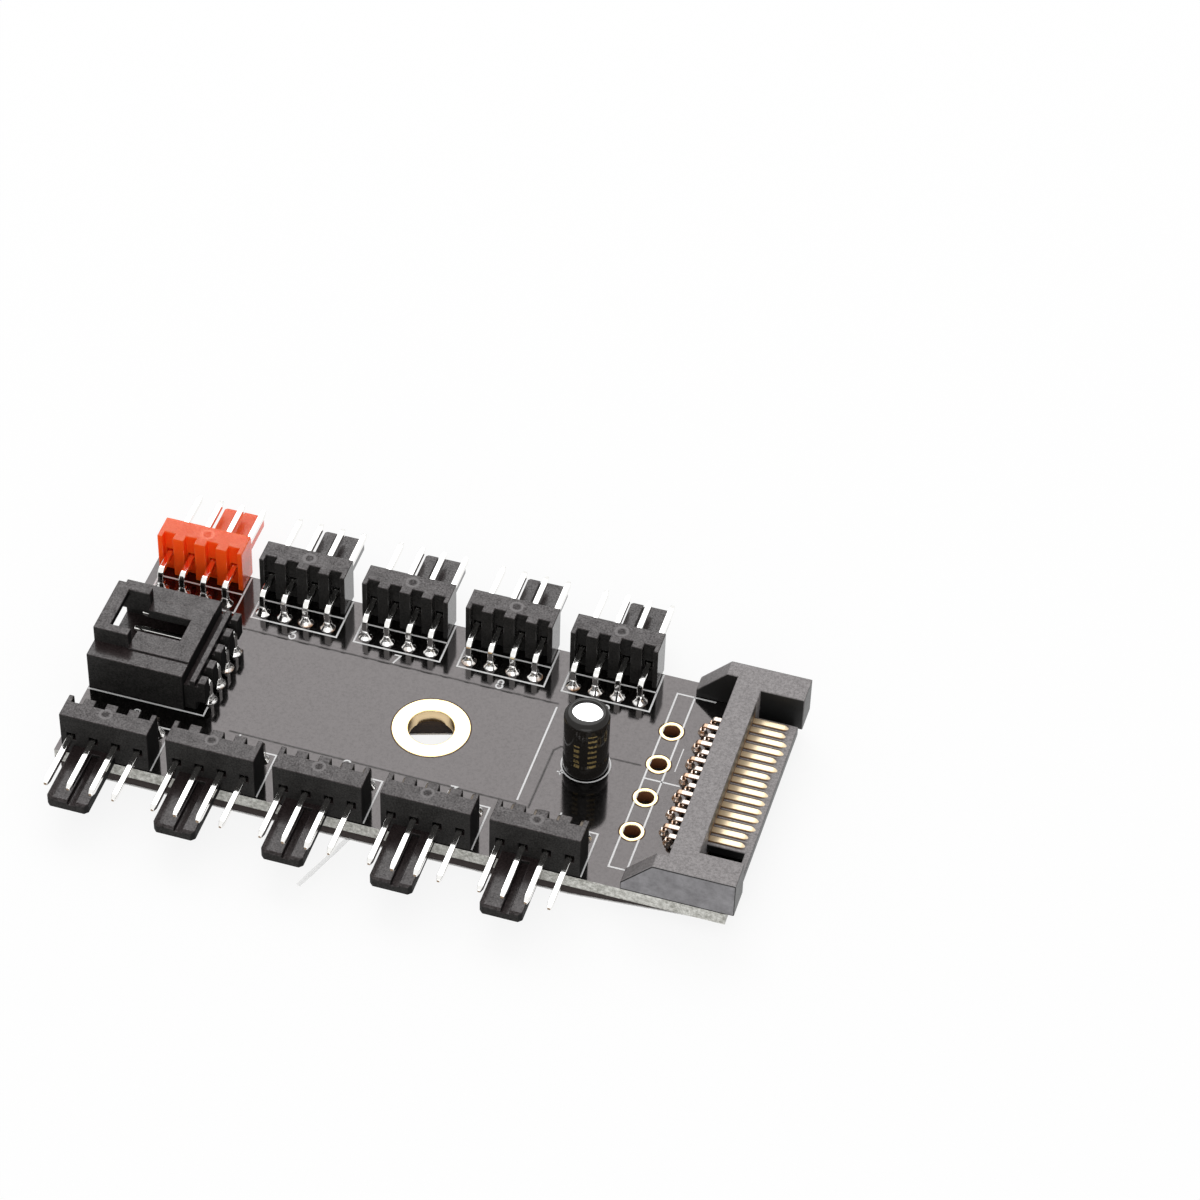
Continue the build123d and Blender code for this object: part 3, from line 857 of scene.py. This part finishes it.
# %% Capacitor
def capacitor_sleeve():
    shape = bmesh.new()
    profile = [(2.30, 1.8), (2.44, 1.84), (2.5, 1.98), (2.5, 3.45), (2.46, 3.60), (2.37, 3.80), (2.35, 3.88),
               (2.37, 3.96), (2.46, 4.16), (2.5, 4.32), (2.5, 9.25), (2.475, 9.42), (2.41, 9.58), (2.31, 9.71),
               (2.18, 9.81), (2.03, 9.87), (1.88, 9.895), (1.77, 9.90), (1.70, 9.87), (1.68, 9.80), (1.68, 9.68)]
    turned(shape, profile, (can_x, 0.0), 72)
    for vert in shape.verts:
        away = math.hypot(vert.co.x / MM - can_x, vert.co.y / MM)
        if vert.co.z > 9.6 * MM:
            pull = min(1.0, max(0.0, (2.25 - away) / 0.5))
            vert.co.y += (0.20 * MM - vert.co.y * 0.13) * pull
    return keep("capacitor_shrunk_sleeve", shape, ["black_sleeve"], ["capacitor_sleeve"])


def capacitor_can():
    shape = bmesh.new()
    profile = [(2.25, 2.2), (2.25, 9.1), (2.2, 9.25), (2.05, 9.55), (1.8, 9.68), (1.5, 9.73), (0.9, 9.75), (0.2, 9.755)]
    rings, strips = turned(shape, profile, (can_x, 0.0), 72)
    shape.faces.new(rings[-1])
    return keep("capacitor_drawn_can", shape, ["can_aluminium"], ["capacitor_can"])


capacitor_sleeve()
capacitor_can()
dress("capacitor_seal", "black_rubber")
dress("capacitor_leads", "tinned_brass")
print("capacitor dressed")

# %% [markdown]
# White ink is printed on the lacquer: a frame beside each port, lines along the pads and plain port numbers.
# Ink is a film a few hundredths of a millimetre thick. Thin ribbons along a path are enough for lines and
# for numerals alike, and unlike a picture they stay sharp however near the camera comes.

# %% Ink lines
ink_width = 0.2
ink_film = 0.02


def ribbon(shape, points, width=ink_width):
    """A flat strip of ink along a path in millimetres, with mitred corners."""
    path = [Vector(point) for point in points]
    rows = []
    for k, point in enumerate(path):
        before = (point - path[k - 1]).normalized() if k else None
        after = (path[k + 1] - point).normalized() if k + 1 < len(path) else None
        if before and after:
            lean = (before + after).normalized()
            reach = width / 2 / max(0.4, lean.dot(after))
        else:
            lean = before or after
            reach = width / 2
        side = Vector((-lean.y, lean.x)) * reach
        rows.append([shape.verts.new(((point.x + way * side.x) * MM, (point.y + way * side.y) * MM, level * MM))
                     for way, level in ((1, board_top), (1, board_top + ink_film),
                                        (-1, board_top + ink_film), (-1, board_top))])
    for here, there in zip(rows, rows[1:]):
        for k in range(3):
            shape.faces.new((here[k], here[k + 1], there[k + 1], there[k]))
    shape.faces.new(rows[0][::-1])
    shape.faces.new(rows[-1])


def rounding(middle, radii, start, end, steps=10):
    """Points on part of an ellipse, from one angle to another, in degrees."""
    turns = [math.radians(start + (end - start) * k / steps) for k in range(steps + 1)]
    return [(middle[0] + radii[0] * math.cos(t), middle[1] + radii[1] * math.sin(t)) for t in turns]


def port_frames(shape):
    for k in range(5):
        x = first_port + k * port_pitch
        ribbon(shape, [(x - 4.8, 12.7), (x - 4.8, 9.7), (x + 5.2, 9.7), (x + 5.2, 15.55)])
        ribbon(shape, [(x - 4.8, 12.7), (x + 5.2, 12.7)])
        ribbon(shape, [(x - 5.0, -9.1), (x + 5.05, -9.1), (x + 5.05, -15.4)])
    ribbon(shape, [(-37.45, -6.05), (-24.05, -6.05), (-24.05, -4.65)])


def power_lines(shape):
    ribbon(shape, [(12.04, 7.23), (12.04, -7.13)])
    ribbon(shape, [(28.4, 13.3), (24.0, 13.3), (24.0, -13.05), (26.0, -13.05), (26.0, 13.3)])
    ribbon(shape, [(24.1, 0.15), (28.06, 0.15)])
    ribbon(shape, [(26.92, 5.56), (26.92, 2.03)], 0.12)
    ring = rounding((can_x, 0.12), (2.66, 2.66), 0, 360, 64)
    ribbon(shape, ring, 0.15)
    ribbon(shape, [(14.85, -1.85), (15.65, -1.85)], 0.16)
    ribbon(shape, [(15.25, -1.45), (15.25, -2.25)], 0.16)


ink = bmesh.new()
port_frames(ink)
power_lines(ink)
print("ink lines drawn,", len(ink.faces), "faces")

# %% [markdown]
# The numerals are drawn as a plotter would draw them: each is one or two strokes in a box of unit height.
# The front row reads from the other side of the board, so its numerals are turned by half a turn.

# %% Port numbers
numerals = {
    "1": [[(0.10, 0.80), (0.32, 1.0), (0.32, 0.0)]],
    "2": [rounding((0.30, 0.72), (0.27, 0.28), 165, -35) + [(0.03, 0.0), (0.60, 0.0)]],
    "3": [rounding((0.28, 0.76), (0.25, 0.24), 160, -80) + rounding((0.28, 0.26), (0.30, 0.26), 80, -160)],
    "4": [[(0.46, 0.0), (0.46, 1.0), (0.02, 0.30), (0.64, 0.30)]],
    "5": [[(0.55, 1.0), (0.12, 1.0), (0.08, 0.56)] + rounding((0.29, 0.33), (0.29, 0.33), 120, -150)],
    "6": [rounding((0.31, 0.31), (0.28, 0.31), 0, 360, 20), [(0.04, 0.38), (0.17, 0.74), (0.44, 1.0)]],
    "7": [[(0.02, 1.0), (0.58, 1.0), (0.20, 0.0)]],
    "8": [rounding((0.30, 0.75), (0.23, 0.25), 0, 360, 20), rounding((0.30, 0.26), (0.29, 0.26), 0, 360, 20)],
    "9": [rounding((0.30, 0.69), (0.28, 0.31), 0, 360, 20), [(0.57, 0.62), (0.44, 0.26), (0.17, 0.0)]],
}


def number(shape, text, middle, tall, turned_round=False):
    way = -1 if turned_round else 1
    for path in numerals[text]:
        points = [(middle[0] + way * (u - 0.31) * tall, middle[1] + way * (v - 0.5) * tall) for u, v in path]
        ribbon(shape, points, 0.19)


for k in range(5):
    x = first_port + k * port_pitch
    number(ink, str(5 - k), (x + 0.5, -8.0), 1.25, turned_round=True)
    if k:
        number(ink, str(5 + k), (x + 0.55, 8.55), 1.25)
print("ink print has", len(ink.faces), "faces")
keep("ink_print", ink, ["white_ink"])

# %% [markdown]
# Under the board is a pad of closed-cell foam with glue on both sides. Die-cut foam never has a crisp wall: the
# cut drags it in and the glued faces hold it, so its edge bulges and frays a little. The walls of the CAD's
# pad give its outline, which is divided finely, and each point is pushed in by a bulge and some fixed noise.

# %% Foam pad
def outlines(node):
    """The closed outlines of a flat node seen from above, in millimetres, the longest first."""
    shape = clean_shape(node)
    shape.normal_update()
    follow = {}
    for face in shape.faces:
        if abs(face.normal.z) < 0.5:
            ends = {(round(vert.co.x / MM, 3), round(vert.co.y / MM, 3)) for vert in face.verts}
            for end in ends:
                follow.setdefault(end, set()).update(ends - {end})
    shape.free()
    loops = []
    while follow:
        start = min(follow)
        loop = [start]
        ahead = sorted(follow.pop(start))
        while ahead:
            here = ahead[0]
            loop.append(here)
            ahead = sorted(point for point in follow.pop(here) if point in follow)
        loops.append([Vector(point) for point in loop])
    return sorted(loops, key=len_round, reverse=True)


def len_round(loop):
    return sum((point - loop[k - 1]).length for k, point in enumerate(loop))


def pad_outlines():
    """The pad's outer outline, and the hole below the mounting ring with the straight side of a hand-made cut."""
    loops = outlines("foam_pad")
    away = Vector((-0.32, 0.947))
    cut = 1.83
    hole = next(loop for loop in loops if max(point.length for point in loop) < 6.0)
    return loops[0], [point - away * max(0.0, point.dot(away) - cut) for point in hole]


def divided(loop, step):
    """A closed outline with points no further apart than a step, always turning to the left."""
    area = sum(loop[k - 1].x * point.y - point.x * loop[k - 1].y for k, point in enumerate(loop))
    path = loop if area > 0 else loop[::-1]
    points = []
    for k, point in enumerate(path):
        there = path[(k + 1) % len(path)]
        parts = max(1, math.ceil((there - point).length / step))
        points += [point.lerp(there, part / parts) for part in range(parts)]
    return points


def walls(shape, loop, levels, push, outward):
    """Rings of an outline at several heights, each point moved in by push(point, height, share)."""
    rings = []
    low, high = levels[0], levels[-1]
    for level in levels:
        ring = []
        for k, point in enumerate(loop):
            along = (loop[(k + 1) % len(loop)] - loop[k - 1]).normalized()
            away = Vector((along.y, -along.x)) * outward
            moved = point - away * push(point, level, (level - low) / (high - low))
            ring.append(shape.verts.new((moved.x * MM, moved.y * MM, level * MM)))
        rings.append(ring)
    for here, there in zip(rings, rings[1:]):
        for k in range(len(loop)):
            shape.faces.new((here[k - 1], here[k], there[k], there[k - 1])).smooth = True
    return rings


def lids(shape, rings):
    """Close the top or bottom between an outer ring and the ring of a hole."""
    edges = [shape.edges.get((ring[k - 1], ring[k])) for ring in rings for k in range(len(ring))]
    bmesh.ops.triangle_fill(shape, edges=edges, use_beauty=True)


def fray(point, level, share):
    bulge = math.sin(math.pi * share)
    rough = noise.noise(Vector((point.x * 1.7, point.y * 1.7, level * 2.3)))
    fine = noise.noise(Vector((point.x * 5.1, point.y * 5.1, level * 6.0)))
    return 0.10 * (1 - bulge) + 0.05 + 0.05 * rough + 0.02 * fine


def slab(levels, step, push):
    """The pad's outline with its hole, closed above and below."""
    outer, hole = pad_outlines()
    shape = bmesh.new()
    outside = walls(shape, divided(outer, step), levels, push, 1)
    inside = walls(shape, divided(hole, step), levels, push, -1)
    lids(shape, [outside[0], inside[0]])
    lids(shape, [outside[-1], inside[-1]])
    bmesh.ops.recalc_face_normals(shape, faces=shape.faces)
    return shape


def foam():
    low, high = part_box("foam_pad")
    levels = [(low[2] + (high[2] - low[2]) * k / 7) / MM for k in range(8)]
    shape = slab(levels, 0.35, fray)
    piece = keep("foam_cushion", shape, ["black_foam"], ["foam_pad"])
    return piece


pad = foam()
print("foam pad has", len(pad.data.polygons), "faces")

# %% [markdown]
# The liner is the film that protects the glue until the hub is stuck down. A narrow strip of it is left at the front:
# thin, cupped across its width and half clear, so that mostly its edges show. The sheet is a thin slab of the foam's
# outline, and the strip is an open ribbon built row by row, drawn flat along a curve.

# %% Liner and its strip
def liner_finish():
    material, flow, where = new_finish("white_liner")
    x, y, z = axes(flow, where)
    haze = speckle(flow, where, 2.5, 3.0)
    strip = y < -15.6
    close(flow, {"Base Color": shade(flow, haze, grey(0.80, 0.01), grey(0.96, 0.01)), "Roughness": 0.3 + haze * 0.2,
                 "Alpha": 1 - strip * (0.85 - haze * 0.3), "Normal": relief(flow, haze, 0.4, 8.0)})
    finish["white_liner"] = material


def straight(point, level, share):
    return 0.02


def strip_line(share):
    """A point on the strip's curve, from under the pad to its loose end."""
    root, bow, end = Vector((-3.3, -12.65)), Vector((-4.9, -17.45)), Vector((-7.0, -23.25))
    return root * ((1 - share) * (1 - 2 * share)) + bow * (4 * share * (1 - share)) + end * (share * (2 * share - 1))


def strip(shape, level):
    rows = []
    steps = 40
    for k in range(steps + 1):
        share = 0.27 + 0.73 * k / steps
        here = strip_line(share)
        along = (strip_line(share + 0.01) - strip_line(share - 0.01)).normalized()
        side = Vector((-along.y, along.x))
        half = 0.29 + 0.02 * math.sin(share * 17)
        rows.append([shape.verts.new(((here.x + side.x * a * half) * MM, (here.y + side.y * a * half) * MM,
                                      (level + 0.10 * a * a + 0.03 * math.sin(share * 9)) * MM))
                     for a in (-1, -0.8, -0.4, 0, 0.4, 0.8, 1)])
    for here, there in zip(rows, rows[1:]):
        for k in range(6):
            shape.faces.new((here[k], here[k + 1], there[k + 1], there[k])).smooth = True


def liner():
    low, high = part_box("release_liner")
    levels = [low[2] / MM + 0.01, high[2] / MM]
    shape = slab(levels, 2.0, straight)
    strip(shape, low[2] / MM + 0.05)
    return keep("liner_film", shape, ["white_liner"], ["release_liner"])


liner_finish()
film = liner()
print("liner has", len(film.data.polygons), "faces")

# %% [markdown]
# The stage is a plain white table under soft, even light. Light Path lets the floor and the world answer the camera
# and mirror-like surfaces with plain white, while everything matt is lit at an ordinary level. Part of the floor
# stays a normal matt surface, so the hub still leaves its shadow there. A round softbox behind the hub shows in
# the lacquer and on the top faces, and a weaker lamp in front fills the walls.

# %% Floor, world and lamps
floor_glow = 0.86


def shown_rays(flow):
    """One for rays that show the stage: to the camera, off a mirror or through a clear film."""
    camera_ray = flow.node("LightPath", out="Is Camera Ray")
    bounced = flow.maths("MAXIMUM", camera_ray.also("Is Glossy Ray"), camera_ray.also("Is Transmission Ray"))
    return flow.maths("MAXIMUM", camera_ray, bounced)


def floor():
    low, high = cad_box
    shape = bmesh.new()
    half = 1.5
    level = low[2] - 0.02 * MM
    corners = [shape.verts.new((x * half, y * half, level)) for x, y in ((-1, -1), (1, -1), (1, 1), (-1, 1))]
    shape.faces.new(corners)
    mesh = bpy.data.meshes.new("table_top")
    shape.to_mesh(mesh)
    shape.free()
    piece = linked("table_top", mesh)
    material, flow, where = new_finish("table_white")
    paper = flow.node("BsdfDiffuse", {}, {"Color": (0.93, 0.93, 0.93, 1.0)})
    glow = flow.node("Emission", {}, {"Color": (1.0, 1.0, 1.0, 1.0), "Strength": 1.0})
    both = flow.node("MixShader", {}, {0: shown_rays(flow) * floor_glow, 1: paper, 2: glow})
    flow.node("OutputMaterial", {}, {"Surface": both})
    mesh.materials.append(material)


def sky():
    world = bpy.data.worlds.new("studio")
    world.use_nodes = True
    world.node_tree.nodes.clear()
    bpy.context.scene.world = world
    flow = Flow(world.node_tree)
    light = flow.node("Background", {}, {"Color": (1.0, 1.0, 1.0, 1.0), "Strength": shown_rays(flow) * 0.32 + 0.68})
    flow.node("OutputWorld", {}, {"Surface": light})


def lamp(name, place, aim, side, watts):
    data = bpy.data.lights.new(name, "AREA")
    data.shape = "DISK"
    data.size = side
    data.energy = watts
    made = linked(name, data)
    made.location = place
    made.rotation_euler = (Vector(aim) - Vector(place)).to_track_quat("-Z", "Y").to_euler()


floor()
sky()
lamp("back_softbox", (-0.175, 0.517, 0.588), (0.0, 0.0, 0.0), 0.62, 2.35)
lamp("front_fill", (0.18, -0.70, 0.32), (0.0, 0.0, 0.0), 0.7, 2.0)
print("stage and light are set")

# %% [markdown]
# The camera stands where the photographer stood: in front, a little to the right, looking down at about forty-five
# degrees through a long lens. Its place and its turn were found from the known pitch of the pins.

# %% Camera
view = bpy.data.cameras.new("view")
view.lens = 120.844
view.sensor_width = 36.0
camera = linked("camera", view)
camera.location = Vector((95.709, -282.852, 321.436)) * MM
camera.rotation_euler = Euler([math.radians(turn) for turn in (44.869, -1.519, 16.807)])
bpy.context.scene.camera = camera
bpy.context.scene.view_settings.view_transform = "Standard"
print("camera stands at", [round(value, 4) for value in camera.location])
